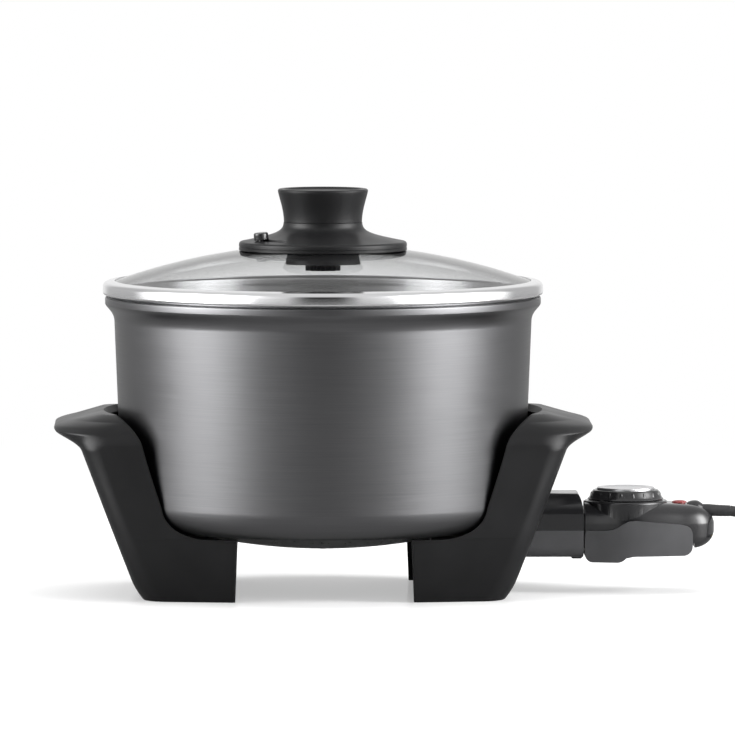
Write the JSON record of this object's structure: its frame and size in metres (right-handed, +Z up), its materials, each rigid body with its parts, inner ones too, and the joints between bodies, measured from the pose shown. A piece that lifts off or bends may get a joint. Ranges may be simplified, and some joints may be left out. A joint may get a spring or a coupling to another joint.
{
  "type": "electric multicooker",
  "caption": "Electric multicooker with a cast pot on black leg handles, a lift-off glass lid and a plug-in heat control.",
  "frame": {"origin": "centre of the object's plan, cord left out, on the table plane under the legs", "axes": "+X from the pot towards the plug-in heat control, -Y towards the front, +Z up"},
  "size_m": [0.616, 0.286, 0.2625],
  "materials": {
    "cast_pot": "brushed round, grey nonstick coat",
    "phenolic": "satin black moulding",
    "gloss_black": "gloss black moulding",
    "satin_grey": "satin dark grey moulding",
    "lid_steel": "polished ring",
    "plain_steel": "plated",
    "dome_glass": "clear tempered",
    "cup_grey": "satin light grey moulding",
    "gasket": "matt",
    "sheath": "dark oxidised",
    "brass": "bright",
    "cap_silver": "spun",
    "red_lens": "clear red",
    "lamp": "neon lamp",
    "cord": "matt black sleeve"
  },
  "bodies": {
    "base": {"pot": "cast_pot", "base_cover": "plain_steel", "cover_screw": "plain_steel", "heating_element": "sheath", "terminal_pins": "plain_steel", "leg_left": "phenolic", "leg_right": "phenolic", "leg_screws": "plain_steel", "socket_hood": "gloss_black", "socket_cradle": "satin_grey", "socket_screws": "plain_steel"},
    "lid": {"lid_glass": "dome_glass", "lid_rim": "lid_steel", "knob_base": "phenolic", "knob_grip": "phenolic", "glass_gasket": "gasket", "under_washer": "cup_grey", "clamp_nut": "phenolic", "knob_screw": "plain_steel"},
    "lever": {"steam_lever": "gloss_black"},
    "control": {"probe_upper_shell": "gloss_black", "probe_lower_shell": "gloss_black", "probe_nose": "satin_grey", "sensor_rod": "plain_steel", "contact_sleeves": "brass", "thermostat_frame": "plain_steel", "bimetal_blade": "brass", "switch_blades": "brass", "probe_screws": "plain_steel", "indicator_lens": "red_lens", "indicator_lamp": "lamp", "trigger_pin": "plain_steel", "trigger_spring": "plain_steel", "strain_relief": "cord", "lead": "cord", "lead_coil": "cord", "plug_body": "cord", "plug_pins": "brass"},
    "dial": {"dial_shaft": "plain_steel", "dial_skirt": "gloss_black", "dial_cap": "cap_silver"},
    "trigger": {"trigger": "satin_grey"}
  },
  "joints": [
    {"name": "lid_lift", "type": "slide", "parent": "base", "child": "lid", "axis": [0, 0, 1], "range_m": [0, 0.12]},
    {"name": "steam_turn", "type": "hinge", "parent": "lid", "child": "lever", "pos_m": [-0.04, 0, 0.22], "axis": [0, 0, 1], "range_deg": [0, 28]},
    {"name": "control_pull", "type": "slide", "parent": "base", "child": "control", "axis": [1, 0, 0], "range_m": [0, 0.095]},
    {"name": "dial_turn", "type": "hinge", "parent": "control", "child": "dial", "pos_m": [0.157, 0, 0.06], "axis": [0, 0, 1], "range_deg": [0, 290]},
    {"name": "trigger_squeeze", "type": "hinge", "parent": "control", "child": "trigger", "pos_m": [0.144, 0, 0.0305], "axis": [0, -1, 0], "range_deg": [0, 4], "stiffness_Nm_per_rad": 0.4, "springref_deg": -9.74, "deforming": ["trigger_spring"]}
  ]
}
